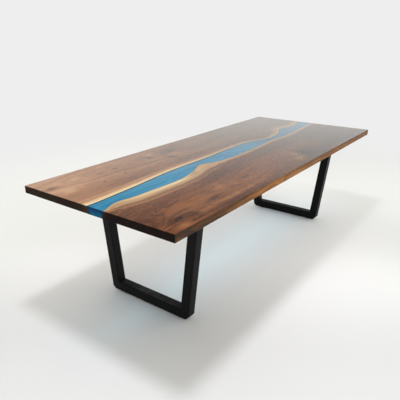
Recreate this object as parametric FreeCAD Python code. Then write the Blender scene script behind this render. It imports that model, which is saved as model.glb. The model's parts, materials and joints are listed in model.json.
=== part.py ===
import FreeCAD, Part
import math
import os
from FreeCAD import Placement, Rotation, Vector

# A river table: two walnut slabs with their live edges turned inwards, a blue resin river cast between
# them, and two welded frames of square steel tube that are bolted up under the slabs.
# X runs along the table with the near end at -X, Y runs across it with the left side at +Y,
# Z is up from the floor.  All lengths are in millimetres.

# The top
table_length = 2600.0
table_width = 1070.0
table_height = 755.0
top_thickness = 42.0
top_edge_round = 2.0

# The live edges on the top face: share of the length from the near end, and share of the width
# to the left of the centre line
left_bank_shares = [
    (0.000, 0.017), (0.080, 0.025), (0.160, 0.039), (0.220, 0.053), (0.300, 0.063), (0.400, 0.060),
    (0.500, 0.069), (0.570, 0.070), (0.630, 0.059), (0.660, 0.039), (0.685, 0.010), (0.710, 0.001),
    (0.755, 0.012), (0.785, 0.026), (0.815, 0.063), (0.845, 0.084), (0.880, 0.068), (0.917, 0.049),
    (0.955, 0.076), (1.000, 0.090),
]
right_bank_shares = [
    (0.000, -0.088), (0.022, -0.070), (0.048, -0.055), (0.080, -0.067), (0.130, -0.076), (0.210, -0.084),
    (0.260, -0.070), (0.300, -0.040), (0.328, -0.010), (0.346, 0.001), (0.360, -0.012), (0.382, -0.037),
    (0.420, -0.055), (0.500, -0.065), (0.600, -0.054), (0.680, -0.045), (0.770, -0.057), (0.860, -0.041),
    (1.000, -0.020),
]
# How far each slab runs on under the resin at its lower face, and the part of that reached halfway down
left_toe_reach = 14.0
right_toe_reach = 10.0
belly_share = 0.62

# The leg frames
frame_inset = 372.0
frame_top_width = 770.0
frame_foot_width = 605.0
tube_size = 60.0
tube_wall = 3.0
tube_inner_radius = 2.0
corner_clip = 22.0
corner_cap_thickness = 3.0

# The mounting plates and their slots, which are long across the grain so that the slabs can move
plate_thickness = 6.0
plate_edge_margin = 6.0
plate_corner_radius = 8.0
slot_clearance = 1.0
slot_travel = 12.0
bolt_row_gap = 5.0
bolt_end_distance = 60.0
bolt_inner_spread = 150.0

# The bolts, washers and threaded inserts
bolt_diameter = 8.0
bolt_length = 25.0
bolt_head_size = 13.0
bolt_head_height = 5.3
bolt_head_chamfer = 1.2
washer_diameter = 24.0
washer_thickness = 2.0
washer_clearance = 0.4
insert_diameter = 12.5
insert_length = 20.0
insert_chamfer = 1.2
insert_end_gap = 2.0
thread_clearance = 0.1
seat_clearance = 0.05

# The levelling feet and the rivet nuts that hold them in the rails
foot_inset = 80.0
nut_flange_diameter = 18.0
nut_flange_thickness = 1.5
nut_barrel_diameter = 13.0
nut_barrel_length = 20.0
nut_bulge_diameter = 17.0
nut_bulge_height = 4.0
stem_diameter = 10.0
stem_length = 32.0
stem_chamfer = 1.0
stem_clearance = 0.05
hex_size = 15.0
hex_height = 2.0
spigot_diameter = 8.0
spigot_length = 2.0
pad_diameter = 40.0
pad_height = 3.5
pad_shoulder_diameter = 24.0
pad_sole_bevel = 0.8
pad_rim_height = 2.0

# How far cutting shapes run past what they cut
overrun = 5.0

# Heights and places that follow from the sizes above
top_underside = table_height - top_thickness
leg_top = top_underside - plate_thickness
hex_top = pad_height + hex_height
rail_bottom = hex_top + nut_flange_thickness
frame_x = table_length / 2 - frame_inset - tube_size / 2
foot_y = frame_foot_width / 2 - foot_inset
bolt_row_x = tube_size / 2 + bolt_row_gap + washer_diameter / 2
plate_width = 2 * (bolt_row_x + washer_diameter / 2 + plate_edge_margin)
plate_length = frame_top_width
bolt_outer_y = plate_length / 2 - bolt_end_distance
washer_bottom = leg_top - washer_thickness
bolt_reach = bolt_length - washer_thickness - plate_thickness
bolt_places = [
    (row * bolt_row_x, side * spread)
    for row in (-1, 1)
    for side in (-1, 1)
    for spread in (bolt_inner_spread, bolt_outer_y)
]


def bank_line(shares, reach, height):
    # One live edge at one height, drawn straight on past both ends of the table.
    first = [(-overrun / table_length, shares[0][1])]
    last = [(1 + overrun / table_length, shares[-1][1])]
    points = []
    for along, across in first + shares + last:
        x = (along - 1 / 2) * table_length
        y = across * table_width + reach
        points.append(Vector(x, y, height))
    curve = Part.BSplineCurve()
    curve.interpolate(points)
    return curve.toShape()


def river_section(height, reach_share):
    left = bank_line(left_bank_shares, -left_toe_reach * reach_share, height)
    right = bank_line(right_bank_shares, right_toe_reach * reach_share, height)
    near = Part.makeLine(right.firstVertex().Point, left.firstVertex().Point)
    far = Part.makeLine(left.lastVertex().Point, right.lastVertex().Point)
    return Part.Wire([left, far, right, near])


def toe_share(depth):
    # The live edge bulges: its reach grows fastest just under the top face.
    bulge = 4 * belly_share - 1
    part = depth / top_thickness
    return part * (bulge + (1 - bulge) * part)


def river_blank():
    sections = []
    for depth in (-overrun, top_thickness / 2, top_thickness + overrun):
        sections.append(river_section(table_height - depth, toe_share(depth)))
    return Part.makeLoft(sections, True)


def top_board():
    corner = Vector(-table_length / 2, -table_width / 2, top_underside)
    board = Part.makeBox(table_length, table_width, top_thickness, corner)
    return board.makeFillet(top_edge_round, board.Edges)


def insert_holes():
    depth = max(insert_length, bolt_reach) + insert_end_gap
    radius = insert_diameter / 2 + seat_clearance
    holes = []
    for frame_side in (-1, 1):
        for x, y in bolt_places:
            foot = Vector(frame_side * frame_x + x, y, top_underside - overrun)
            holes.append(Part.makeCylinder(radius, depth + overrun, foot))
    return Part.makeCompound(holes)


def build_top():
    board = top_board()
    blank = river_blank()
    holes = insert_holes()
    slabs = board.cut(blank).Solids
    slabs.sort(key=lambda slab: slab.CenterOfMass.y)
    right_slab, left_slab = slabs
    return {
        "left_slab": left_slab.cut(holes),
        "right_slab": right_slab.cut(holes),
        "resin_river": board.common(blank),
    }


def prism(points):
    # An outline in the plane of a frame, drawn out past both faces of the tubes.
    face = Part.Face(Part.makePolygon(points + points[:1]))
    depth = tube_size + 2 * overrun
    solid = face.extrude(Vector(depth, 0, 0))
    solid.translate(Vector(-depth / 2, 0, 0))
    return solid


def square_bar(size, corner_radius, start, direction, length):
    bar = Part.makeBox(size, size, length, Vector(-size / 2, -size / 2, 0))
    long_edges = [edge for edge in bar.Edges if abs(edge.tangentAt(edge.FirstParameter).z) > 0.9]
    bar = bar.makeFillet(corner_radius, long_edges)
    bar.Placement = Placement(start, Rotation(Vector(0, 0, 1), direction))
    return bar


def tube_pair(start, direction, length):
    # The full section of a tube and its hollow.
    outside = square_bar(tube_size, tube_inner_radius + tube_wall, start, direction, length)
    hollow = square_bar(tube_size - 2 * tube_wall, tube_inner_radius, start, direction, length)
    return outside, hollow


class Corner:
    # The foot corner of a frame, on the left for side 1 and on the right for side -1.
    def __init__(self, side):
        rise = leg_top - rail_bottom
        spread = (frame_top_width - frame_foot_width) / 2
        self.side = side
        self.outwards = Vector(0, side, 0)
        self.leg_length = math.hypot(rise, spread)
        self.up_leg = Vector(0, side * spread, rise) / self.leg_length
        self.across_leg = Vector(0, -side * self.up_leg.z, side * self.up_leg.y)
        self.heel = Vector(0, side * frame_foot_width / 2, rail_bottom)
        lean = spread / self.leg_length
        throat_inset = tube_size * (1 - lean) / self.up_leg.z
        self.throat = self.heel - self.outwards * throat_inset + Vector(0, 0, tube_size)
        self.mitre = (self.throat - self.heel).normalize()

    def leg_outline(self):
        head = self.heel + self.up_leg * self.leg_length
        head_width = tube_size / self.up_leg.z
        return [
            self.heel - self.mitre * overrun,
            self.throat + self.mitre * overrun,
            head - self.outwards * (head_width + overrun),
            head + self.outwards * overrun,
        ]

    def rail_end(self):
        return [self.heel - self.mitre * overrun, self.throat + self.mitre * overrun]

    def clip(self, setback):
        # All that lies outside the clipped corner, or outside a line set back from it.
        on_rail = self.heel - self.outwards * corner_clip
        on_leg = self.heel + self.up_leg * corner_clip
        along = (on_leg - on_rail).normalize()
        out = Vector(0, self.side * along.z, -self.side * along.y)
        start = on_rail - out * setback - along * tube_size
        end = on_leg - out * setback + along * tube_size
        return prism([start, end, end + out * tube_size, start + out * tube_size])


def leg_bars(corner):
    middle = corner.heel + corner.across_leg * (tube_size / 2)
    start = middle - corner.up_leg * tube_size
    outside, hollow = tube_pair(start, corner.up_leg, corner.leg_length + 2 * tube_size)
    keep = prism(corner.leg_outline())
    return outside.common(keep), hollow


def rail_bars(left, right):
    start = Vector(0, -frame_foot_width / 2 - tube_size, rail_bottom + tube_size / 2)
    outside, hollow = tube_pair(start, Vector(0, 1, 0), frame_foot_width + 2 * tube_size)
    keep = prism(left.rail_end() + right.rail_end()[::-1])
    return outside.common(keep), hollow


def build_leg(corner):
    outside, hollow = leg_bars(corner)
    return outside.cut(hollow).cut(corner.clip(corner_cap_thickness))


def build_rail(corners):
    outside, hollow = rail_bars(*corners)
    rail = outside.cut(hollow)
    for corner in corners:
        rail = rail.cut(corner.clip(corner_cap_thickness))
        foot = Vector(0, corner.side * foot_y, rail_bottom - overrun)
        radius = nut_barrel_diameter / 2 + seat_clearance
        rail = rail.cut(Part.makeCylinder(radius, tube_wall + 2 * overrun, foot))
    return rail


def build_corner_cap(corner, corners):
    # A plate welded over the opening that the clip leaves, flush with the tubes around it.
    leg, _ = leg_bars(corner)
    rail, _ = rail_bars(*corners)
    layer = corner.clip(corner_cap_thickness).cut(corner.clip(0))
    return leg.fuse(rail).removeSplitter().common(layer)


def slot(width, travel, height, base):
    # A round-ended slot that is long across the table.
    radius = width / 2
    reach = travel / 2
    tip = reach + radius
    sides = [
        Part.makeLine(Vector(radius, -reach, 0), Vector(radius, reach, 0)),
        Part.Arc(Vector(radius, reach, 0), Vector(0, tip, 0), Vector(-radius, reach, 0)).toShape(),
        Part.makeLine(Vector(-radius, reach, 0), Vector(-radius, -reach, 0)),
        Part.Arc(Vector(-radius, -reach, 0), Vector(0, -tip, 0), Vector(radius, -reach, 0)).toShape(),
    ]
    solid = Part.Face(Part.Wire(sides)).extrude(Vector(0, 0, height))
    solid.translate(base)
    return solid


def build_plate():
    corner = Vector(-plate_width / 2, -plate_length / 2, leg_top)
    plate = Part.makeBox(plate_width, plate_length, plate_thickness, corner)
    upright = [edge for edge in plate.Edges if abs(edge.tangentAt(edge.FirstParameter).z) > 0.9]
    plate = plate.makeFillet(plate_corner_radius, upright)
    slot_width = bolt_diameter + slot_clearance
    for x, y in bolt_places:
        base = Vector(x, y, leg_top - overrun)
        plate = plate.cut(slot(slot_width, slot_travel, plate_thickness + 2 * overrun, base))
    return plate


def hexagon(size, height):
    points = []
    for corner in range(7):
        angle = math.radians(60 * corner)
        radius = size / math.sqrt(3)
        points.append(Vector(radius * math.cos(angle), radius * math.sin(angle), 0))
    return Part.Face(Part.makePolygon(points)).extrude(Vector(0, 0, height))


def turned(points):
    # A round piece from half its section, given as radius and height.
    outline = [Vector(radius, 0, height) for radius, height in points]
    return Part.Face(Part.makePolygon(outline + outline[:1])).revolve(Vector(0, 0, 0), Vector(0, 0, 1), 360)


def placed(solid, places, height):
    copies = []
    for x, y in places:
        copy = solid.copy()
        copy.translate(Vector(x, y, height))
        copies.append(copy)
    return Part.makeCompound(copies)


def build_bolt():
    # A hexagon bolt with its head down; the underside of the head is at height zero.
    face_radius = bolt_head_size / 2
    corner_radius = bolt_head_size / math.sqrt(3)
    cone_spread = (corner_radius - face_radius) / bolt_head_chamfer
    base = Vector(0, 0, -bolt_head_height)
    head = hexagon(bolt_head_size, bolt_head_height)
    head.translate(base)
    crown = Part.makeCone(face_radius, face_radius + bolt_head_height * cone_spread, bolt_head_height, base)
    shank = Part.makeCylinder(bolt_diameter / 2, bolt_length)
    return head.common(crown).fuse(shank).removeSplitter()


def build_washer():
    bore = bolt_diameter / 2 + washer_clearance / 2
    rim = washer_diameter / 2
    return turned([(bore, 0), (rim, 0), (rim, washer_thickness), (bore, washer_thickness)])


def build_insert():
    bore = bolt_diameter / 2 + thread_clearance
    rim = insert_diameter / 2
    return turned([
        (bore, 0),
        (rim, 0),
        (rim, insert_length - insert_chamfer),
        (rim - insert_chamfer, insert_length),
        (bore, insert_length),
    ])


def build_rivet_nut():
    # Drawn from the underside of the rail: flange below it, barrel through the wall, bulge above.
    bore = stem_diameter / 2 + stem_clearance
    flange = nut_flange_diameter / 2
    barrel = nut_barrel_diameter / 2
    bulge = nut_bulge_diameter / 2
    bulge_top = tube_wall + nut_bulge_height
    return turned([
        (bore, -nut_flange_thickness),
        (flange, -nut_flange_thickness),
        (flange, 0),
        (barrel, 0),
        (barrel, tube_wall),
        (bulge, tube_wall),
        (barrel, bulge_top),
        (barrel, nut_barrel_length),
        (bore, nut_barrel_length),
    ])


def build_foot_stem():
    # A threaded stud with a hexagon to turn it by and a spigot moulded into the pad.
    radius = stem_diameter / 2
    stud_top = hex_top + stem_length
    spigot = spigot_diameter / 2
    spigot_bottom = pad_height - spigot_length
    stud = turned([
        (0, spigot_bottom),
        (spigot, spigot_bottom),
        (spigot, pad_height),
        (radius, pad_height),
        (radius, stud_top - stem_chamfer),
        (radius - stem_chamfer, stud_top),
        (0, stud_top),
    ])
    collar = hexagon(hex_size, hex_height)
    collar.translate(Vector(0, 0, pad_height))
    return stud.fuse(collar).removeSplitter()


def build_foot_pad():
    rim = pad_diameter / 2
    shoulder = pad_shoulder_diameter / 2
    socket = spigot_diameter / 2 + seat_clearance
    socket_bottom = pad_height - spigot_length
    return turned([
        (0, 0),
        (rim - pad_sole_bevel, 0),
        (rim, pad_sole_bevel),
        (rim, pad_rim_height),
        (shoulder, pad_height),
        (socket, pad_height),
        (socket, socket_bottom),
        (0, socket_bottom),
    ])


def build_frame():
    # One leg frame, in the plane X = 0.
    corners = (Corner(1), Corner(-1))
    nut_places = [(0, corner.side * foot_y) for corner in corners]
    return {
        "left_leg": build_leg(corners[0]),
        "right_leg": build_leg(corners[1]),
        "floor_rail": build_rail(corners),
        "corner_caps": Part.makeCompound([build_corner_cap(corner, corners) for corner in corners]),
        "mounting_plate": build_plate(),
        "plate_bolts": placed(build_bolt(), bolt_places, washer_bottom),
        "plate_washers": placed(build_washer(), bolt_places, washer_bottom),
        "thread_inserts": placed(build_insert(), bolt_places, top_underside),
        "rivet_nuts": placed(build_rivet_nut(), nut_places, rail_bottom),
        "left_foot_stem": placed(build_foot_stem(), nut_places[:1], 0),
        "left_foot_pad": placed(build_foot_pad(), nut_places[:1], 0),
        "right_foot_stem": placed(build_foot_stem(), nut_places[1:], 0),
        "right_foot_pad": placed(build_foot_pad(), nut_places[1:], 0),
    }


nodes = build_top()
for end, x in (("near", -frame_x), ("far", frame_x)):
    for piece, shape in build_frame().items():
        shape.translate(Vector(x, 0, 0))
        nodes[end + "_" + piece] = shape

os.makedirs("parts", exist_ok=True)
for name, shape in nodes.items():
    shape.exportStep("parts/" + name + ".step")
    print(name, len(shape.Solids), "solids,", round(shape.Volume / 1000, 2), "cm3, valid", shape.isValid())
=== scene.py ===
import json
import math

import bmesh
import bpy
from mathutils import Euler, Matrix, Vector, noise
from mathutils.bvhtree import BVHTree


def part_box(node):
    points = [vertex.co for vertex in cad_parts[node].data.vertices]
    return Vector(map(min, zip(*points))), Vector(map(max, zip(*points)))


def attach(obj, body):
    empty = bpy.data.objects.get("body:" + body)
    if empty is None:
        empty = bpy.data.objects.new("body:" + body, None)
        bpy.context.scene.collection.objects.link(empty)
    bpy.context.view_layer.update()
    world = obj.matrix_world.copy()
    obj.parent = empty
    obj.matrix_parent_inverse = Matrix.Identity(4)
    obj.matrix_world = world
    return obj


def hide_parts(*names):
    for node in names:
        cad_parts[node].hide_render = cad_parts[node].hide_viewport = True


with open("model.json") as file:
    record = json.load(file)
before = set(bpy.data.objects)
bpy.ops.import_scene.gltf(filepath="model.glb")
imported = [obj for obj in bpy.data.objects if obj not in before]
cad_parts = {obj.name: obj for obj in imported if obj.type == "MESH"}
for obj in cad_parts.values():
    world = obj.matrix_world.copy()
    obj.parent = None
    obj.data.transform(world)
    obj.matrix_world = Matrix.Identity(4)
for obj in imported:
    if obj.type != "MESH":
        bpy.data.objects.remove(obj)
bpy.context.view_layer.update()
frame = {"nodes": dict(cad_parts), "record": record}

nodes = frame["nodes"]
print("frame loaded:", len(nodes), "solids")


# Small helpers for shader trees: a socket is linked, anything else is typed in
def feed(tree, socket, value):
    if isinstance(value, bpy.types.NodeSocket):
        tree.links.new(value, socket)
    elif socket.type == "RGBA":
        socket.default_value = (*value, 1)
    else:
        socket.default_value = value


def put(tree, kind, inputs=None, **settings):
    node = tree.nodes.new(kind)
    for name, value in settings.items():
        setattr(node, name, value)
    for name, value in (inputs or {}).items():
        feed(tree, node.inputs[name], value)
    return node


def calc(tree, operation, *values):
    return put(tree, "ShaderNodeMath", dict(enumerate(values)), operation=operation).outputs[0]


def vectorCalc(tree, operation, *vectors):
    return put(tree, "ShaderNodeVectorMath", dict(enumerate(vectors)), operation=operation).outputs


def axes(tree, vector):
    return put(tree, "ShaderNodeSeparateXYZ", {0: vector}).outputs


def joined(tree, **places):
    return put(tree, "ShaderNodeCombineXYZ", places).outputs[0]


def remap(tree, value, low, high, toLow=0.0, toHigh=1.0):
    inputs = dict(enumerate((value, low, high, toLow, toHigh)))
    return put(tree, "ShaderNodeMapRange", inputs, interpolation_type="SMOOTHSTEP").outputs[0]


def mixColour(tree, factor, first, second, mode="MIX"):
    inputs = {0: factor, 6: first, 7: second}
    return put(tree, "ShaderNodeMix", inputs, data_type="RGBA", blend_type=mode).outputs[2]


def mixShader(tree, factor, first, second):
    return put(tree, "ShaderNodeMixShader", {0: factor, 1: first, 2: second}).outputs[0]


def stretched(tree, vector, scale, shift=(0.0, 0.0, 0.0)):    # texture place, scaled apart along each axis
    return vectorCalc(tree, "ADD", vectorCalc(tree, "MULTIPLY", vector, scale)[0], shift)[0]


def cloud(tree, vector, scale=1.0, detail=3.0, roughness=0.55, distortion=0.0):
    inputs = {"Vector": vector, "Scale": scale, "Detail": detail, "Roughness": roughness,
              "Distortion": distortion}
    return put(tree, "ShaderNodeTexNoise", inputs).outputs[0]


def attribute(tree, name):
    return put(tree, "ShaderNodeAttribute", attribute_name=name).outputs["Vector"]


def objectPlace(tree):
    return put(tree, "ShaderNodeTexCoord").outputs["Object"]


def newGroup(name, inputs, outputs):
    group = bpy.data.node_groups.new(name, "ShaderNodeTree")
    for label, kind, value in inputs:
        socket = group.interface.new_socket(label, in_out="INPUT", socket_type="NodeSocket" + kind)
        if value is not None:
            socket.default_value = (*value, 1) if kind == "Color" else value
    for label, kind in outputs:
        group.interface.new_socket(label, in_out="OUTPUT", socket_type="NodeSocket" + kind)
    return group, put(group, "NodeGroupInput").outputs, put(group, "NodeGroupOutput").inputs


def fillGroup(tree, group, inputs):
    return put(tree, "ShaderNodeGroup", inputs, node_tree=group).outputs


def newMaterial(name):
    material = bpy.data.materials.new(name)
    material.use_nodes = True
    tree = material.node_tree
    tree.nodes.clear()
    return material, tree, put(tree, "ShaderNodeOutputMaterial").inputs


def colour(red, green, blue):    # written as seen on screen, 0 to 255
    def linear(value):
        value /= 255
        return value / 12.92 if value <= 0.04045 else ((value + 0.055) / 1.055) ** 2.4
    return linear(red), linear(green), linear(blue)


def addObject(name, data):
    thing = bpy.data.objects.new(name, data)
    bpy.context.collection.objects.link(thing)
    return thing


# Camera, at the place that the photograph was taken from
view = {"place": (-2.5864, -1.6183, 1.5465), "turn": 36.51, "dip": 20.79, "roll": -0.17,
        "lens": 40.0, "sensor": 36.0}


def makeCamera():
    data = bpy.data.cameras.new("camera")
    data.lens = view["lens"]
    data.sensor_width = view["sensor"]
    data.sensor_fit = "HORIZONTAL"
    camera = addObject("camera", data)
    aim = Euler((math.radians(90 - view["dip"]), 0, math.radians(view["turn"] - 90))).to_matrix()
    aim = aim @ Matrix.Rotation(math.radians(view["roll"]), 3, "Z")
    camera.matrix_world = Matrix.Translation(view["place"]) @ aim.to_4x4()
    bpy.context.scene.camera = camera


# Studio: a pale floor, painted darker as shade towards the camera and the far right, that runs out into a pale
# background, a soft lamp above the near end, wall and ceiling
studio = {
    "floorColour": (239, 239, 239), "floorReach": 40.0,
    # painted shade on the floor: darker towards the camera and towards the far right
    "nearFloorPaintedShade": (207, 207, 207), "nearSlope": (-0.85, -0.55), "nearStart": 0.1, "nearEnd": 1.25,
    "farFloorPaintedShade": (226, 226, 226), "farSlope": 0.7, "farStart": 0.8, "farEnd": 1.5,
    "backgroundColour": (238, 238, 238), "fadeStart": 2.0, "fadeEnd": 4.4,
    "lampPlace": (-0.9, -0.04, 4.35), "lampSize": 0.66, "lampColour": (247, 247, 255),
    # the lamp's two beams: aim, cone in degrees, power
    "beams": [((-1.4, -0.9, 0.0), 62.0, 370.0), ((2.1, -0.8, 0.0), 35.0, 170.0)],
    # light on the object, from the horizon up
    "horizonFill": 7.2, "ceilingFill": 1.02, "fillTo": 0.45, "fillColour": (255, 255, 249),
    # what the polish mirrors: a bright wall below a dark ceiling, a little higher on the +Y side
    "wallSeen": 1.4, "ceilingSeen": 0.0, "ceilingFrom": 0.14, "ceilingTo": 0.40,
    "wallColour": (251, 255, 253), "wallLean": 0.03, "leanFrom": 0.45, "leanTo": 0.95,
    # the side behind the camera is dim
    "shadySide": 0.2, "shadyFrom": -0.9, "shadyTo": 0.1,
}


def makeFloor():
    material, tree, out = newMaterial("studioFloor")
    place = objectPlace(tree)
    fade = remap(tree, vectorCalc(tree, "LENGTH", place)["Value"], studio["fadeStart"], studio["fadeEnd"])
    spot = axes(tree, place)
    # painted shade: the floor darkens towards the camera and towards the far right
    slopeX, slopeY = studio["nearSlope"]
    near = calc(tree, "MULTIPLY_ADD", spot["X"], slopeX, calc(tree, "MULTIPLY", spot["Y"], slopeY))
    tone = mixColour(tree, remap(tree, near, studio["nearStart"], studio["nearEnd"]),
                     colour(*studio["floorColour"]), colour(*studio["nearFloorPaintedShade"]))
    far = calc(tree, "MULTIPLY", calc(tree, "SUBTRACT", spot["X"], spot["Y"]), studio["farSlope"])
    tone = mixColour(tree, remap(tree, far, studio["farStart"], studio["farEnd"]), tone,
                     colour(*studio["farFloorPaintedShade"]))
    lit = put(tree, "ShaderNodeBsdfDiffuse", {"Color": tone}).outputs[0]
    glow = put(tree, "ShaderNodeEmission", {"Color": colour(*studio["backgroundColour"])}).outputs[0]
    # seen from below, the floor is clear, so that the underside of the table can be looked at
    clear = put(tree, "ShaderNodeBsdfTransparent").outputs[0]
    below = put(tree, "ShaderNodeNewGeometry").outputs["Backfacing"]
    feed(tree, out["Surface"], mixShader(tree, below, mixShader(tree, fade, lit, glow), clear))
    mesh = bpy.data.meshes.new("floor")
    reach = studio["floorReach"]
    corners = [(-reach, -reach, 0), (reach, -reach, 0), (reach, reach, 0), (-reach, reach, 0)]
    mesh.from_pydata(corners, [], [(0, 1, 2, 3)])
    mesh.materials.append(material)
    floor = addObject("floor", mesh)


def makeLamp():
    for aim, cone, power in studio["beams"]:
        lamp = bpy.data.lights.new("softLamp", "SPOT")
        lamp.shadow_soft_size = studio["lampSize"] / 2
        lamp.spot_size = math.radians(cone)
        lamp.spot_blend = 1.0
        lamp.color = colour(*studio["lampColour"])
        lamp.energy = power
        lampObject = addObject("softLamp", lamp)
        lampObject.location = studio["lampPlace"]
        lampObject.visible_glossy = False    # no hot spot of the lamp in the polish
        lampObject.rotation_euler = (Vector(aim) - lampObject.location).to_track_quat("-Z", "Y").to_euler()


def makeWorld():
    world = bpy.data.worlds.new("studioWorld")
    bpy.context.scene.world = world
    world.use_nodes = True
    tree = world.node_tree
    tree.nodes.clear()
    direction = axes(tree, put(tree, "ShaderNodeTexCoord").outputs["Generated"])
    shade = remap(tree, direction["X"], studio["shadyFrom"], studio["shadyTo"], studio["shadySide"], 1.0)
    fill = remap(tree, direction["Z"], 0.0, studio["fillTo"], studio["horizonFill"], studio["ceilingFill"])
    fill = calc(tree, "MULTIPLY", fill, shade)
    lean = remap(tree, direction["Y"], studio["leanFrom"], studio["leanTo"], 0.0, studio["wallLean"])
    seen = remap(tree, calc(tree, "SUBTRACT", direction["Z"], lean), studio["ceilingFrom"],
                 studio["ceilingTo"], studio["wallSeen"], studio["ceilingSeen"])
    seen = calc(tree, "MULTIPLY", seen, shade)
    ray = put(tree, "ShaderNodeLightPath").outputs
    mirrored = calc(tree, "MAXIMUM", ray["Is Glossy Ray"], ray["Is Transmission Ray"])
    level = put(tree, "ShaderNodeMix", {"Factor": mirrored, "A": fill, "B": seen}).outputs[0]
    level = put(tree, "ShaderNodeMix", {"Factor": ray["Is Camera Ray"], "A": level,
                                        "B": colour(*studio["backgroundColour"])[0]}).outputs[0]
    tint = mixColour(tree, ray["Is Diffuse Ray"], (1, 1, 1), colour(*studio["fillColour"]))
    tint = mixColour(tree, ray["Is Glossy Ray"], tint, colour(*studio["wallColour"]))
    sky = put(tree, "ShaderNodeBackground", {"Color": tint, "Strength": level})
    feed(tree, put(tree, "ShaderNodeOutputWorld").inputs["Surface"], sky.outputs[0])


# Table top: slabs and resin share the banks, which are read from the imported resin, a little inside its faces
board = {
    "stations": 325, "columns": 16, "riverColumns": 10, "levels": 6, "crowding": 1.3,
    "arris": 0.002, "arrisSteps": 3, "creaseAngle": 38.0, "creaseRatio": 4.0,
    "relief": 0.0009, "reliefLength": 0.045, "reliefHeight": 0.02, "endInset": 0.003, "faceInset": 0.0003,
    "resinGrip": 0.0003, "resinSink": 0.00004, "endTurn": 0.7, "sideTurn": 0.3,
}
topLow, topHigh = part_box("resin_river")
sideEdge = {"left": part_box("left_slab")[1].y, "right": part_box("right_slab")[0].y}
riverMesh = nodes["resin_river"].data
riverTree = BVHTree.FromPolygons([v.co for v in riverMesh.vertices],
                                 [p.vertices for p in riverMesh.polygons])


def bankAt(side, x, z):    # Y of the live edge at that length and height
    insideX = min(max(x, topLow.x + board["endInset"]), topHigh.x - board["endInset"])
    insideZ = min(max(z, topLow.z + board["faceInset"]), topHigh.z - board["faceInset"])
    inward = Vector((0, -math.copysign(1, sideEdge[side]), 0))
    hit = riverTree.ray_cast(Vector((insideX, sideEdge[side], insideZ)), inward)[0]
    rough = noise.noise(Vector((x / board["reliefLength"], z / board["reliefHeight"], sideEdge[side])))
    return hit.y + rough * board["relief"]


def alongTop(share):
    return topLow.x + (topHigh.x - topLow.x) * share


def upTop(share):
    return topLow.z + (topHigh.z - topLow.z) * share


# Closed shell around a lattice of points; the listed arrises are rounded, each given by its two fixed counts
def latticeShell(name, counts, place, arrises):
    mesh = bmesh.new()
    points = {}

    def corner(spot):
        if spot not in points:
            points[spot] = mesh.verts.new(place(*(n / count for n, count in zip(spot, counts))))
        return points[spot]

    for axis in range(3):
        across, along = (n for n in range(3) if n != axis)
        for end in (0, counts[axis]):
            for p in range(counts[across]):
                for q in range(counts[along]):
                    ring = []
                    for dp, dq in ((0, 0), (1, 0), (1, 1), (0, 1)):
                        spot = [end] * 3
                        spot[across] = p + dp
                        spot[along] = q + dq
                        ring.append(corner(tuple(spot)))
                    mesh.faces.new(ring)
    bmesh.ops.recalc_face_normals(mesh, faces=mesh.faces)
    spots = {vert: spot for spot, vert in points.items()}

    def onArris(edge):
        first, second = (spots[vert] for vert in edge.verts)
        return any(all(first[axis] == second[axis] == counts[axis] * end for axis, end in line)
                   for line in arrises)

    bmesh.ops.bevel(mesh, geom=[edge for edge in mesh.edges if onArris(edge)], offset=board["arris"],
                    offset_type="OFFSET", segments=board["arrisSteps"], profile=0.5, affect="EDGES")
    for face in mesh.faces:
        face.smooth = True
    crease = math.radians(board["creaseAngle"])
    for edge in mesh.edges:    # an arris is shaded apart from the flat faces beside it
        areas = sorted(face.calc_area() for face in edge.link_faces)
        edge.smooth = edge.calc_face_angle() < crease and areas[1] < board["creaseRatio"] * areas[0]
    data = bpy.data.meshes.new(name)
    mesh.to_mesh(data)
    mesh.free()
    return addObject(name, data)


def mark(data, name, values):    # a vector at each point that the materials read
    data.attributes.new(name, "FLOAT_VECTOR", "POINT").data.foreach_set("vector", values)


def markCuts(data, outward=0):    # sawn ends take the second material, the outer side the third
    for face in data.polygons:
        onEnd = abs(face.normal.x) > board["endTurn"]
        onSide = face.normal.y * outward > board["sideTurn"]
        face.material_index = 1 if onEnd else 2 if onSide else 0


# Sapwood along each bank: share of the length from the near end, width in metres, how tan it is, and how far
# lines run on beyond it
sapwoodBands = {
    "left": ((0.0, 0.042, 0.0, 1.0), (0.2, 0.037, 0.25, 0.8), (0.42, 0.028, 0.45, 0.4),
             (0.6, 0.030, 0.6, 0.2), (0.68, 0.018, 0.7, 0.2), (0.78, 0.040, 0.6, 0.2),
             (0.84, 0.060, 0.7, 0.4), (1.0, 0.040, 0.8, 0.2)),
    "right": ((0.0, 0.014, 1.0, 0.8), (0.035, 0.052, 0.8, 0.9), (0.06, 0.066, 0.5, 0.9),
              (0.1, 0.062, 0.3, 0.9), (0.22, 0.056, 0.15, 0.8), (0.26, 0.060, 0.5, 0.6),
              (0.3, 0.070, 0.7, 0.5), (0.345, 0.096, 0.9, 0.4), (0.38, 0.045, 0.9, 0.4),
              (0.42, 0.028, 0.9, 0.3), (0.7, 0.022, 0.9, 0.2), (1.0, 0.026, 0.9, 0.2)),
}
# Metres from the bank up to which the grain follows it and from which it runs straight, and where the bank is
# on average
grainBend = {"follow": 0.02, "straight": 0.20, "bankMiddle": 0.05}


def sapwoodAt(side, x):
    share = (x - topLow.x) / (topHigh.x - topLow.x)
    bands = sapwoodBands[side]
    for (start, *first), (end, *second) in zip(bands, bands[1:]):
        if share <= end:
            return [a + (b - a) * (share - start) / (end - start) for a, b in zip(first, second)]
    return bands[-1][1:]


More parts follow.
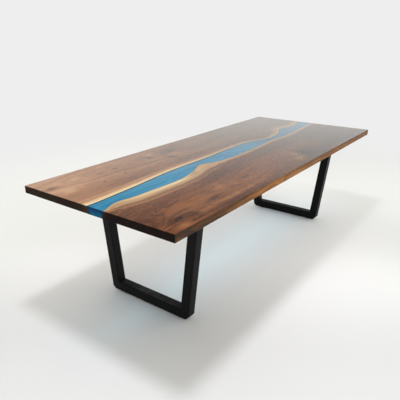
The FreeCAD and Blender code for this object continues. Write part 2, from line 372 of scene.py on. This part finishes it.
def makeSlab(side):
    edge = sideEdge[side]
    outward = math.copysign(1, edge)

    def place(along, across, up):
        x, z = alongTop(along), upTop(up)
        bank = bankAt(side, x, z)
        return x, bank + (edge - bank) * across ** board["crowding"], z

    rounded = [((1, 1), (2, 0)), ((1, 1), (2, 1))]
    for end in (0, 1):
        rounded += [((0, end), (2, 0)), ((0, end), (2, 1)), ((0, end), (1, 1))]
    counts = (board["stations"], board["columns"], board["levels"])
    piece = latticeShell(side + "WalnutSlab", counts, place, rounded)
    grain, sap = [], []
    for vert in piece.data.vertices:
        x, y, z = vert.co
        gap = abs(y - bankAt(side, x, z))
        turn = (gap - grainBend["follow"]) / (grainBend["straight"] - grainBend["follow"])
        turn = min(max(turn, 0), 1)
        turn *= turn * (3 - 2 * turn)
        straight = y * outward - grainBend["bankMiddle"]
        grain += (x, gap + (straight - gap) * turn, z - topHigh.z)
        width, tan, lines = sapwoodAt(side, x)
        sap += (gap / width, tan, lines)
    mark(piece.data, "grainPlace", grain)
    mark(piece.data, "sapwood", sap)
    markCuts(piece.data, outward)
    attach(piece, "table")
    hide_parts(side + "_slab")
    return piece


def makeRiver():
    def place(along, across, up):
        x = alongTop(along)
        z = upTop(up) - (board["resinSink"] if up == 1 else -board["resinSink"] if up == 0 else 0)
        left = bankAt("left", x, z) + board["resinGrip"]
        right = bankAt("right", x, z) - board["resinGrip"]
        return x, right + (left - right) * across, z

    rounded = [((0, end), (2, level)) for end in (0, 1) for level in (0, 1)]
    counts = (board["stations"], board["riverColumns"], board["levels"])
    piece = latticeShell("resinRiver", counts, place, rounded)
    gaps = []
    for vert in piece.data.vertices:
        x, y, z = vert.co
        gaps += (bankAt("left", x, z) - y, y - bankAt("right", x, z), 0.0)
    mark(piece.data, "bankGaps", gaps)
    markCuts(piece.data)
    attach(piece, "table")
    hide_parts("resin_river")
    return piece


# Soft oval spot in the grain: a knot, a burl or a stain
spotShape = {"wobbleScale": 22.0, "wobbleDetail": 2.0, "wobble": (0.25, 0.75, 0.55, 1.6),
             "core": (0.55, 0.95)}


def makeSpotGroup():
    group, take, give = newGroup(
        "grainSpot",
        [("Place", "Vector", None), ("Along", "Float", 0.0), ("Across", "Float", 0.0),
         ("Length", "Float", 0.05), ("Width", "Float", 0.02)],
        [("Mask", "Float"), ("Core", "Float"), ("Lean", "Float")])
    wobble = cloud(group, take["Place"], spotShape["wobbleScale"], spotShape["wobbleDetail"])
    place = axes(group, take["Place"])
    dx = calc(group, "DIVIDE", calc(group, "SUBTRACT", place["X"], take["Along"]), take["Length"])
    dy = calc(group, "DIVIDE", calc(group, "SUBTRACT", place["Y"], take["Across"]), take["Width"])
    reach = calc(group, "ADD", calc(group, "MULTIPLY", dx, dx), calc(group, "MULTIPLY", dy, dy))
    reach = calc(group, "MULTIPLY", reach, remap(group, wobble, *spotShape["wobble"]))
    mask = calc(group, "EXPONENT", calc(group, "MULTIPLY", reach, -1.0))
    feed(group, give["Mask"], mask)
    feed(group, give["Core"], remap(group, mask, *spotShape["core"]))
    feed(group, give["Lean"], calc(group, "MULTIPLY", dy, mask))
    return group


# Layers of noise in the wood: scale along, across and through it, then detail, roughness and distortion
woodLayers = {
    "wander": ((1.3, 3.4, 3.0), 2.0), "ripple": ((6.0, 15.0, 12.0), 3.0), "curl": ((16.0, 34.0, 30.0), 2.0),
    "pith": ((0.8, 0.0, 0.0), 1.0), "zones": ((1.5, 5.5, 4.0), 3.0),
    "mottle": ((11.0, 46.0, 30.0), 4.0, 0.62, 0.5), "streaks": ((2.6, 75.0, 75.0), 4.0, 0.62),
    "fibres": ((16.0, 520.0, 520.0), 2.0), "pores": ((48.0, 950.0, 950.0), 1.0),
    "flecks": ((5.0, 150.0, 150.0), 3.0),
}
# How the layers act; a range is low and high, and then what they become where that is not 0 and 1
woodFigure = {
    # growth rings, in metres
    "rippleReach": 0.022, "curlReach": 0.008, "pithDepth": (0.3, 0.7, 0.02, 0.15), "bandScale": 26.0,
    "bandDetail": 4.0, "bandRoughness": 0.6, "ringRise": (0.3, 0.9), "ringFall": (0.9, 1.0, 1.0, 0.0),
    # heartwood tone
    "bandTone": 0.6, "zoneTone": 0.45, "mottleTone": 0.20, "streakTone": 0.45, "lateTone": -0.10,
    "baseTone": 0.5, "middleFrom": (0.16, 0.46), "warmFrom": (0.42, 0.66), "paleFrom": (0.64, 0.95),
    "glowFrom": (0.25, 0.7, 0.35, 1.0), "glowMix": 0.5,
    # sapwood band, in shares of its width
    "bandWander": 0.34, "tanFrom": (0.35, 0.95), "streakTan": (0.45, 0.8, 0.0, 0.5),
    "fleckDark": (0.5, 0.75, 0.0, 0.5), "skinDark": (0.0, 0.09, 0.6, 0.0), "paintedShadeShare": 0.7,
    "bandEnd": (0.9, 1.04),
    # pale lines beyond it
    "lineWander": 0.8, "linePitch": 9.0, "lineEdge": (-0.5, 0.7), "lineMix": 0.8, "gapTan": 0.25,
    "lineTan": 0.4, "linesStart": 1.05, "linesEnd": 1.4, "linesReach": 1.1,
    # fibres, pores and end grain, which is painted darker still as shade
    "fibreShade": (0.2, 0.8, 0.86, 1.1), "fibreRough": (0.2, 0.8, 0.13, 0.19), "fibreHeight": 0.4,
    "poreFrom": (0.62, 0.72), "poreDark": 0.4, "poreRough": 0.15,
    "endGrainAndShadeTone": (0.07, 0.06, 0.06), "endRough": 0.6,
}


# Walnut in the round: growth rings about a pith that wanders below the top, sapwood towards the live edge
def makeWalnutGroup():
    group, take, give = newGroup(
        "walnutGrain",
        [("Place", "Vector", None), ("Sapwood Share", "Float", 2.0), ("Sapwood Tan", "Float", 0.0),
         ("Sapwood Lines", "Float", 0.0), ("Figure", "Float", 1.0), ("End Grain", "Float", 0.0),
         ("Tone", "Float", 0.0), ("Glow", "Float", 0.0), ("Stain", "Float", 0.0), ("Shade", "Float", 1.0),
         ("Dark", "Color", (0.05, 0.02, 0.01)), ("Middle", "Color", (0.15, 0.06, 0.02)),
         ("Warm", "Color", (0.3, 0.12, 0.04)), ("Pale", "Color", (0.5, 0.3, 0.15)),
         ("Sapwood", "Color", (0.7, 0.5, 0.25)), ("Sapwood Rim", "Color", (0.5, 0.25, 0.08)),
         ("Rim Line", "Color", (0.08, 0.035, 0.02)),
         ("Pith", "Float", 0.5), ("Ring", "Float", 0.009), ("Wander", "Float", 0.05), ("Seed", "Float", 0.0)],
        [("Colour", "Color"), ("Roughness", "Float"), ("Height", "Float")])
    use = woodFigure

    def layer(name, vector):
        scale, *settings = woodLayers[name]
        return cloud(group, stretched(group, vector, scale, seed), 1.0, *settings)

    def middled(value, reach):    # noise about zero
        return calc(group, "MULTIPLY", calc(group, "SUBTRACT", value, 0.5), reach)

    def total(*values):
        level = values[0]
        for value in values[1:]:
            level = calc(group, "ADD", level, value)
        return level

    def dimmed(tint, level):
        return mixColour(group, 1.0, tint, joined(group, X=level, Y=level, Z=level), "MULTIPLY")

    place = axes(group, take["Place"])
    seed = joined(group, X=take["Seed"], Y=take["Seed"], Z=take["Seed"])
    ripple = layer("ripple", take["Place"])
    across = total(place["Y"], middled(layer("wander", take["Place"]), take["Wander"]),
                   middled(ripple, use["rippleReach"]))
    flow = joined(group, X=place["X"], Y=across, Z=place["Z"])
    # distance from the pith, which rises and sinks along the log, so that flat arches open on the top
    rise = calc(group, "ADD", place["Z"], remap(group, layer("pith", take["Place"]), *use["pithDepth"]))
    side = calc(group, "SUBTRACT", across, take["Pith"])
    square = calc(group, "MULTIPLY_ADD", side, side, calc(group, "MULTIPLY", rise, rise))
    curl = middled(layer("curl", take["Place"]), use["curlReach"])
    radius = calc(group, "ADD", calc(group, "SQRT", square), curl)
    ringPlace = joined(group, X=calc(group, "MULTIPLY", radius, use["bandScale"]), Y=take["Seed"])
    bands = cloud(group, ringPlace, 1.0, use["bandDetail"], use["bandRoughness"])
    rings = calc(group, "FRACT", calc(group, "DIVIDE", radius, take["Ring"]))
    lateWood = calc(group, "MULTIPLY", remap(group, rings, *use["ringRise"]),
                    remap(group, rings, *use["ringFall"]))
    zones, mottle = layer("zones", flow), layer("mottle", flow)
    streaks, fibres = layer("streaks", flow), layer("fibres", flow)
    pores = remap(group, layer("pores", flow), *use["poreFrom"])
    # heartwood tone, from dark to pale
    figure = total(middled(bands, use["bandTone"]), middled(zones, use["zoneTone"]),
                   middled(mottle, use["mottleTone"]))
    tone = total(use["baseTone"], take["Tone"], calc(group, "MULTIPLY", figure, take["Figure"]),
                 middled(streaks, use["streakTone"]), middled(lateWood, use["lateTone"]))
    heart = mixColour(group, remap(group, tone, *use["middleFrom"]), take["Dark"], take["Middle"])
    heart = mixColour(group, remap(group, tone, *use["warmFrom"]), heart, take["Warm"])
    heart = mixColour(group, remap(group, tone, *use["paleFrom"]), heart, take["Pale"])
    glow = calc(group, "MULTIPLY", take["Glow"], remap(group, tone, *use["glowFrom"]))
    heart = mixColour(group, glow, heart, mixColour(group, use["glowMix"], take["Warm"], take["Sapwood Rim"]))
    # painted shade: Shade darkens the heartwood towards the far end
    heart = dimmed(mixColour(group, take["Stain"], heart, take["Rim Line"]), take["Shade"])
    # sapwood: a thin brown skin at the live edge, cream with brown flecks, then tan, and pale lines beyond
    band = total(take["Sapwood Share"], middled(ripple, use["bandWander"]),
                 middled(streaks, use["bandWander"]))
    tan = calc(group, "ADD", remap(group, band, *use["tanFrom"]), take["Sapwood Tan"])
    tan = put(group, "ShaderNodeClamp", {0: tan}).outputs[0]
    sapColour = mixColour(group, tan, take["Sapwood"], take["Sapwood Rim"])
    for amount, tint in ((remap(group, streaks, *use["streakTan"]), take["Sapwood Rim"]),
                         (remap(group, layer("flecks", flow), *use["fleckDark"]), take["Rim Line"]),
                         (remap(group, take["Sapwood Share"], *use["skinDark"]), take["Rim Line"])):
        sapColour = mixColour(group, amount, sapColour, tint)
    # the same painted shade, laid more lightly on the sapwood
    sapColour = dimmed(sapColour, calc(group, "MULTIPLY_ADD", take["Shade"], use["paintedShadeShare"],
                                       1 - use["paintedShadeShare"]))
    wave = calc(group, "MULTIPLY", total(band, middled(zones, use["lineWander"])), use["linePitch"])
    lines = remap(group, calc(group, "SINE", wave), *use["lineEdge"])
    rim = mixColour(group, calc(group, "MULTIPLY", lines, use["lineMix"]),
                    mixColour(group, use["gapTan"], heart, take["Sapwood Rim"]),
                    mixColour(group, use["lineTan"], take["Pale"], take["Sapwood Rim"]))
    linesEnd = calc(group, "MULTIPLY_ADD", take["Sapwood Lines"], use["linesReach"], use["linesEnd"])
    wood = mixColour(group, remap(group, band, use["linesStart"], linesEnd), rim, heart)
    wood = mixColour(group, remap(group, band, *use["bandEnd"]), sapColour, wood)
    # fibres, pores and the dark thirsty end grain, painted darker still as shade on the sawn ends
    wood = dimmed(wood, remap(group, fibres, *use["fibreShade"]))
    wood = mixColour(group, calc(group, "MULTIPLY", pores, use["poreDark"]), wood, take["Dark"])
    endGrainAndShadeTone = mixColour(group, 1.0, wood, use["endGrainAndShadeTone"], "MULTIPLY")
    feed(group, give["Colour"], mixColour(group, take["End Grain"], wood, endGrainAndShadeTone))
    rough = total(remap(group, fibres, *use["fibreRough"]), calc(group, "MULTIPLY", pores, use["poreRough"]),
                  calc(group, "MULTIPLY", take["End Grain"], use["endRough"]))
    feed(group, give["Roughness"], rough)
    height = calc(group, "SUBTRACT", calc(group, "MULTIPLY", fibres, use["fibreHeight"]), pores)
    feed(group, give["Height"], height)
    return group


# Tones and spots of each slab; a spot is (share along, share across, length, width, lean, tone, glow, stain)
walnut = {
    "left": {
        "dark": (78, 49, 34), "middle": (123, 82, 56), "warm": (146, 101, 69), "pale": (176, 133, 97),
        "sapwood": (206, 186, 146), "sapwoodRim": (173, 132, 88), "rimLine": (63, 39, 28),
        "pith": 0.34, "ring": 0.011, "wander": 0.12, "seed": 3.7,
        "tone": 0.08, "figure": 1.0, "farPaintedShade": 0.45,
        "spots": [
            (0.020, 0.69, 0.045, 0.034, 0.012, -0.25, 0.0, 0.5),
            (0.20, 0.70, 0.026, 0.017, 0.014, -0.1, 0.0, 0.8),
            (0.19, 0.48, 0.022, 0.015, 0.014, -0.1, 0.0, 0.8),
            (0.118, 0.43, 0.020, 0.014, 0.010, 0.0, 0.0, 0.7),
            (0.320, 0.70, 0.028, 0.024, 0.020, -0.2, 0.0, 0.8),
            (0.362, 0.50, 0.03, 0.06, 0.02, -0.2, 0.0, 0.0),
            (0.155, 0.69, 0.04, 0.02, 0.01, -0.15, 0.0, 0.2),
            (0.40, 0.72, 0.08, 0.03, 0.01, -0.2, 0.0, 0.0),
            (0.037, 0.48, 0.05, 0.03, 0.01, 0.3, 0.1, 0.0),
            (0.342, 0.79, 0.03, 0.03, 0.01, 0.3, 0.3, 0.0),
            (0.395, 0.57, 0.05, 0.04, 0.02, 0.1, 0.1, 0.0),
            (0.25, 0.25, 0.9, 0.07, 0.0, -0.2, 0.0, 0.0),
            (0.0, 0.84, 0.4, 0.5, 0.0, 0.25, 0.0, 0.0),
            (0.46, 0.60, 0.30, 0.25, 0.0, -0.14, 0.0, 0.0),
        ]},
    "right": {
        "dark": (42, 23, 16), "middle": (81, 48, 31), "warm": (116, 68, 39), "pale": (150, 95, 54),
        "sapwood": (211, 185, 142), "sapwoodRim": (160, 127, 90), "rimLine": (54, 32, 23),
        "pith": 0.30, "ring": 0.012, "wander": 0.13, "seed": 11.3,
        "tone": 0.02, "figure": 1.15, "farPaintedShade": 0.75,
        "spots": [
            (0.05, 0.82, 0.09, 0.03, 0.02, -0.28, 0.0, 0.0),
            (0.09, 0.87, 0.03, 0.016, 0.02, -0.3, 0.0, 0.3),
            (0.14, 0.72, 0.30, 0.07, 0.03, 0.08, 0.22, 0.0),
            (0.04, 0.95, 0.04, 0.02, 0.01, 0.3, 0.4, 0.0),
            (0.21, 0.88, 0.26, 0.016, 0.02, 0.25, 0.4, 0.0),
            (0.20, 0.42, 0.6, 0.06, 0.0, 0.06, 0.05, 0.0),
            (0.175, 0.78, 0.08, 0.02, 0.02, -0.3, 0.0, 0.2),
            (0.235, 0.64, 0.07, 0.03, 0.02, 0.15, 0.25, 0.0),
            (0.32, 0.67, 0.05, 0.014, 0.01, -0.25, 0.0, 0.2),
            (0.545, 0.84, 0.05, 0.035, 0.02, 0.3, 0.6, 0.0),
            (0.572, 0.68, 0.045, 0.05, 0.02, 0.3, 0.5, 0.0),
            (0.607, 0.74, 0.05, 0.05, 0.03, -0.45, 0.0, 0.6),
        ]},
}
# painted shade: each slab and its outer side darken along the length towards the far end, to the level given
# per slab, as if further from the lamp
polish = {"refraction": 1.5, "bump": 0.12, "bumpDepth": 0.0006, "paintedShadeStart": 0.25, "paintedShadeEnd": 0.85}
# The three cuts of a slab: gloss, a ramp of tone along it (two shares of the length, tone before and after),
# a rim at the top arris (depth, tone), and the tones that differ from the slab's
cuts = {
    "Face": {"gloss": 0.5, "ramp": (0.0, 1.0, 0.0, 0.0), "rim": (0.01, 0.0)},
    "End": {"gloss": 0.15, "ramp": (0.0, 1.0, 0.0, 0.0), "rim": (0.01, 0.0)},
    "Side": {"gloss": 0.02, "ramp": (0.06, 0.34, -0.30, 0.03), "rim": (0.02, -0.1), "farPaintedShade": 0.62,
             "figure": 0.6, "spots": [], "dark": (54, 42, 34), "middle": (112, 76, 47),
             "warm": (150, 102, 60), "pale": (186, 138, 86)},
}


def makeWalnut(side, grainGroup, spotGroup, cut):
    tones = {**walnut[side], **cuts[cut]}
    material, tree, out = newMaterial(side + "Walnut" + cut)
    place = attribute(tree, "grainPlace")
    sapwood = axes(tree, attribute(tree, "sapwood"))
    spread = axes(tree, place)
    rampStart, rampEnd, rampBefore, rampAfter = tones["ramp"]
    ramp = remap(tree, spread["X"], alongTop(rampStart), alongTop(rampEnd), rampBefore, rampAfter)
    rimDepth, rimTone = tones["rim"]
    rim = remap(tree, spread["Z"], -rimDepth, 0.0, 0.0, rimTone)
    # painted shade: darker towards the far end
    dim = remap(tree, spread["X"], alongTop(polish["paintedShadeStart"]), alongTop(polish["paintedShadeEnd"]), 1.0,
                tones["farPaintedShade"])
    tone = calc(tree, "ADD", calc(tree, "ADD", ramp, rim), tones["tone"])
    lean, glow, stain = 0.0, 0.0, 0.0
    for along, across, spotLength, spotWidth, spotLean, spotTone, spotGlow, spotStain in tones["spots"]:
        spot = fillGroup(tree, spotGroup, {
            "Place": place, "Along": alongTop(along),
            "Across": across * abs(sideEdge[side]) - grainBend["bankMiddle"],
            "Length": spotLength, "Width": spotWidth})
        lean = calc(tree, "MULTIPLY_ADD", spot["Lean"], -spotLean, lean)
        tone = calc(tree, "MULTIPLY_ADD", spot["Mask"], spotTone, tone)
        glow = calc(tree, "MULTIPLY_ADD", spot["Mask"], spotGlow, glow)
        stain = calc(tree, "MAXIMUM", calc(tree, "MULTIPLY", spot["Core"], spotStain), stain)
    bent = vectorCalc(tree, "ADD", place, joined(tree, Y=lean))[0]
    grain = fillGroup(tree, grainGroup, {
        "Place": bent, "Sapwood Share": sapwood["X"], "Sapwood Tan": sapwood["Y"],
        "Sapwood Lines": sapwood["Z"], "Figure": tones["figure"],
        "End Grain": float(cut == "End"), "Tone": tone, "Glow": glow, "Stain": stain, "Shade": dim,
        "Dark": colour(*tones["dark"]), "Middle": colour(*tones["middle"]), "Warm": colour(*tones["warm"]),
        "Pale": colour(*tones["pale"]), "Sapwood": colour(*tones["sapwood"]),
        "Sapwood Rim": colour(*tones["sapwoodRim"]), "Rim Line": colour(*tones["rimLine"]),
        "Pith": tones["pith"], "Ring": tones["ring"], "Wander": tones["wander"], "Seed": tones["seed"]})
    bump = put(tree, "ShaderNodeBump", {
        "Strength": polish["bump"], "Distance": polish["bumpDepth"], "Height": grain["Height"]})
    shader = put(tree, "ShaderNodeBsdfPrincipled", {
        "Base Color": grain["Colour"], "Roughness": grain["Roughness"], "Normal": bump.outputs[0],
        "IOR": polish["refraction"], "Specular IOR Level": tones["gloss"]})
    feed(tree, out["Surface"], shader.outputs[0])
    return material


# Resin: a blue casting with faint clouds of pigment, greyer at the far end, where it is painted darker as
# shade; lamp light falls through it
resin = {
    "colour": (32, 117, 154), "cloudColour": (60, 140, 172), "paintedBankShade": (20, 40, 50),
    "swirlScale": (3.0, 26.0, 26.0), "swirlFrom": (0.35, 0.72), "swirlDistortion": 0.8,
    "swirlDetail": 4.0, "swirlRoughness": 0.6,
    "farCastingPaintedShade": (140, 186, 196), "farStart": 0.56, "farEnd": 0.72,
    "leftEdge": 0.014, "leftDark": 0.95, "rightEdge": 0.005, "rightDark": 0.6,
    "roughness": 0.07, "hazeScale": 60.0, "hazeDetail": 2.0, "haze": (0.2, 0.8, -0.03, 0.03),
    "gloss": 0.36, "refraction": 1.5, "transmission": 0.25,
    "absorption": (0.02, 0.86, 0.92), "density": 40.0, "clearColour": (165, 165, 165),
    # the light that it scatters down
    "scatterColour": (160, 225, 255), "scatterPower": 1.0, "scatterSpread": 80.0, "scatterDrop": 0.001,
    # the sawn ends
    "deepColour": (0, 48, 98), "lowEnd": (2, 92, 126), "endSwirl": (3.0, 40.0, 40.0), "endSwirlReach": 0.6,
    "endEdge": (0.0, 0.02, 0.5, 0.0), "endRoughness": (0.3, 0.7, 0.16, 0.24), "endGloss": 0.06,
}


def makeResin():
    material, tree, out = newMaterial("blueResin")
    place = objectPlace(tree)
    swirl = cloud(tree, stretched(tree, place, resin["swirlScale"]), 1.0, resin["swirlDetail"],
                  resin["swirlRoughness"], resin["swirlDistortion"])
    body = mixColour(tree, remap(tree, swirl, *resin["swirlFrom"]), colour(*resin["colour"]),
                     colour(*resin["cloudColour"]))
    # painted shade: the casting darkens towards the far end
    far = remap(tree, axes(tree, place)["X"], alongTop(resin["farStart"]), alongTop(resin["farEnd"]))
    body = mixColour(tree, far, body, colour(*resin["farCastingPaintedShade"]), "MULTIPLY")
    # the banks run on under the resin, and painted shade darkens it along them, most over the long left toe
    gaps = axes(tree, attribute(tree, "bankGaps"))
    leftEdge = remap(tree, gaps["X"], resin["leftEdge"] / 3, resin["leftEdge"], resin["leftDark"], 0.0)
    rightEdge = remap(tree, gaps["Y"], 0.0, resin["rightEdge"], resin["rightDark"], 0.0)
    body = mixColour(tree, calc(tree, "MAXIMUM", leftEdge, rightEdge), body, colour(*resin["paintedBankShade"]))
    haze = remap(tree, cloud(tree, place, resin["hazeScale"], resin["hazeDetail"]), *resin["haze"])
    shader = put(tree, "ShaderNodeBsdfPrincipled", {
        "Base Color": body, "Roughness": calc(tree, "ADD", haze, resin["roughness"]),
        "IOR": resin["refraction"], "Specular IOR Level": resin["gloss"],
        "Transmission Weight": resin["transmission"]})
    through = put(tree, "ShaderNodeBsdfTransparent", {"Color": colour(*resin["clearColour"])})
    shadowRay = put(tree, "ShaderNodeLightPath").outputs["Is Shadow Ray"]
    feed(tree, out["Surface"], mixShader(tree, shadowRay, shader.outputs[0], through.outputs[0]))
    depth = put(tree, "ShaderNodeVolumeAbsorption", {
        "Color": resin["absorption"], "Density": resin["density"]})
    feed(tree, out["Volume"], depth.outputs[0])
    return material


def makeRiverLight():    # lamp light that the casting scatters down to the floor and the frames
    lamp = bpy.data.lights.new("riverLight", "AREA")
    lamp.shape = "RECTANGLE"
    lamp.size = topHigh.x - topLow.x
    lamp.size_y = (topHigh.y - topLow.y) / 2
    lamp.color = colour(*resin["scatterColour"])
    lamp.energy = resin["scatterPower"]
    lamp.spread = math.radians(resin["scatterSpread"])
    lampObject = addObject("riverLight", lamp)
    middle = (topLow + topHigh) / 2
    lampObject.location = (middle.x, middle.y, topLow.z - resin["scatterDrop"])
    lampObject.visible_camera = lampObject.visible_glossy = lampObject.visible_transmission = False


def makeResinEnd():    # the sawn end looks into the depth of the casting, painted with the light seen there: paler towards its lower edge, with painted shade along the left bank
    material, tree, out = newMaterial("blueResinEnd")
    place = objectPlace(tree)
    swirl = cloud(tree, stretched(tree, place, resin["endSwirl"]), 1.0, resin["swirlDetail"],
                  resin["swirlRoughness"])
    drift = calc(tree, "MULTIPLY", calc(tree, "SUBTRACT", swirl, 0.5), resin["endSwirlReach"])
    level = calc(tree, "ADD", remap(tree, axes(tree, place)["Z"], topLow.z, topHigh.z), drift)
    body = mixColour(tree, level, colour(*resin["lowEnd"]), colour(*resin["deepColour"]))
    gaps = axes(tree, attribute(tree, "bankGaps"))
    body = mixColour(tree, remap(tree, gaps["X"], *resin["endEdge"]), body, colour(*resin["paintedBankShade"]))
    shader = put(tree, "ShaderNodeBsdfPrincipled", {
        "Base Color": body, "Roughness": remap(tree, swirl, *resin["endRoughness"]),
        "Specular IOR Level": resin["endGloss"]})
    feed(tree, out["Surface"], shader.outputs[0])
    return material


# Fine uneven skin of sprayed, plated or moulded surfaces, with dust where it faces up
skinShape = {"speckleDetail": 2.0, "blotchDetail": 4.0, "blotchRoughness": 0.6,
             "dustUp": (0.6, 1.0), "dustPatch": (0.35, 0.7)}


def makeSkinGroup():
    group, take, give = newGroup(
        "fineSkin",
        [("Place", "Vector", None), ("Grain Size", "Float", 0.002), ("Blotch Size", "Float", 0.12),
         ("Stretch", "Vector", (1.0, 1.0, 1.0))],
        [("Speckle", "Float"), ("Blotch", "Float"), ("Dust", "Float")])
    drawn = vectorCalc(group, "MULTIPLY", take["Place"], take["Stretch"])[0]
    speckle = cloud(group, drawn, calc(group, "DIVIDE", 1.0, take["Grain Size"]), skinShape["speckleDetail"])
    feed(group, give["Speckle"], speckle)
    blotch = cloud(group, take["Place"], calc(group, "DIVIDE", 1.0, take["Blotch Size"]),
                   skinShape["blotchDetail"], skinShape["blotchRoughness"])
    feed(group, give["Blotch"], blotch)
    up = axes(group, put(group, "ShaderNodeNewGeometry").outputs["Normal"])["Z"]
    dust = calc(group, "MULTIPLY", remap(group, up, *skinShape["dustUp"]),
                remap(group, blotch, *skinShape["dustPatch"]))
    feed(group, give["Dust"], dust)
    return group


# Finishes of the steel, fasteners and feet, one for each material slot of the record
finishes = {
    "black_steel": {
        "colour": (6, 6, 7), "second": (10, 10, 11), "metal": 0.0, "roughness": 0.45, "spread": 0.10,
        "grain": 0.0016, "stretch": (1, 1, 1), "bump": 0.10, "gloss": 0.12, "dust": 0.09},
    "zinc_steel": {
        "colour": (182, 186, 192), "second": (150, 152, 158), "metal": 1.0, "roughness": 0.34, "spread": 0.14,
        "grain": 0.0008, "stretch": (1, 1, 1), "bump": 0.06, "gloss": 0.5, "dust": 0.0},
    "brass": {
        "colour": (206, 170, 104), "second": (176, 136, 76), "metal": 1.0, "roughness": 0.30, "spread": 0.12,
        "grain": 0.0008, "stretch": (0.2, 0.2, 4), "bump": 0.05, "gloss": 0.5, "dust": 0.0},
    "foot_plastic": {
        "colour": (24, 24, 25), "second": (38, 38, 39), "metal": 0.0, "roughness": 0.55, "spread": 0.12,
        "grain": 0.0010, "stretch": (1, 1, 1), "bump": 0.14, "gloss": 0.35, "dust": 0.12},
}
allFinishes = {"dustColour": (150, 148, 144), "bumpDepth": 0.0004, "colourBlotch": (0.3, 0.7),
               "roughBlotch": (0.25, 0.75)}


def makeFinish(slot, skinGroup):
    finish = {**allFinishes, **finishes[slot]}
    material, tree, out = newMaterial(slot.replace("_", " ").title().replace(" ", ""))
    skin = fillGroup(tree, skinGroup, {
        "Place": objectPlace(tree), "Grain Size": finish["grain"], "Stretch": finish["stretch"]})
    body = mixColour(tree, remap(tree, skin["Blotch"], *finish["colourBlotch"]), colour(*finish["colour"]),
                     colour(*finish["second"]))
    body = mixColour(tree, calc(tree, "MULTIPLY", skin["Dust"], finish["dust"]), body,
                     colour(*finish["dustColour"]))
    rough = remap(tree, skin["Blotch"], *finish["roughBlotch"], finish["roughness"],
                  finish["roughness"] + finish["spread"])
    bump = put(tree, "ShaderNodeBump", {
        "Strength": finish["bump"], "Distance": finish["bumpDepth"], "Height": skin["Speckle"]})
    shader = put(tree, "ShaderNodeBsdfPrincipled", {
        "Base Color": body, "Metallic": finish["metal"], "Roughness": rough, "Normal": bump.outputs[0],
        "Specular IOR Level": finish["gloss"]})
    feed(tree, out["Surface"], shader.outputs[0])
    return material


bpy.context.scene.view_settings.view_transform = "Standard"
makeCamera()
makeFloor()
makeLamp()
makeWorld()
print("studio ready")
leftSlab, rightSlab, river = makeSlab("left"), makeSlab("right"), makeRiver()
print("top shaped:", sum(len(piece.data.polygons) for piece in (leftSlab, rightSlab, river)), "faces")
walnutGroup, spotGroup, skinGroup = makeWalnutGroup(), makeSpotGroup(), makeSkinGroup()
for side, slab in (("left", leftSlab), ("right", rightSlab)):
    for cut in cuts:
        slab.data.materials.append(makeWalnut(side, walnutGroup, spotGroup, cut))
river.data.materials.append(makeResin())
river.data.materials.append(makeResinEnd())
makeRiverLight()
materials = {slot: makeFinish(slot, skinGroup) for slot in finishes}
for part in frame["record"]["subparts"]:
    if part["material_slot"] in materials:
        nodes[part["node"]].material_slots[0].material = materials[part["material_slot"]]
print("finishes applied")
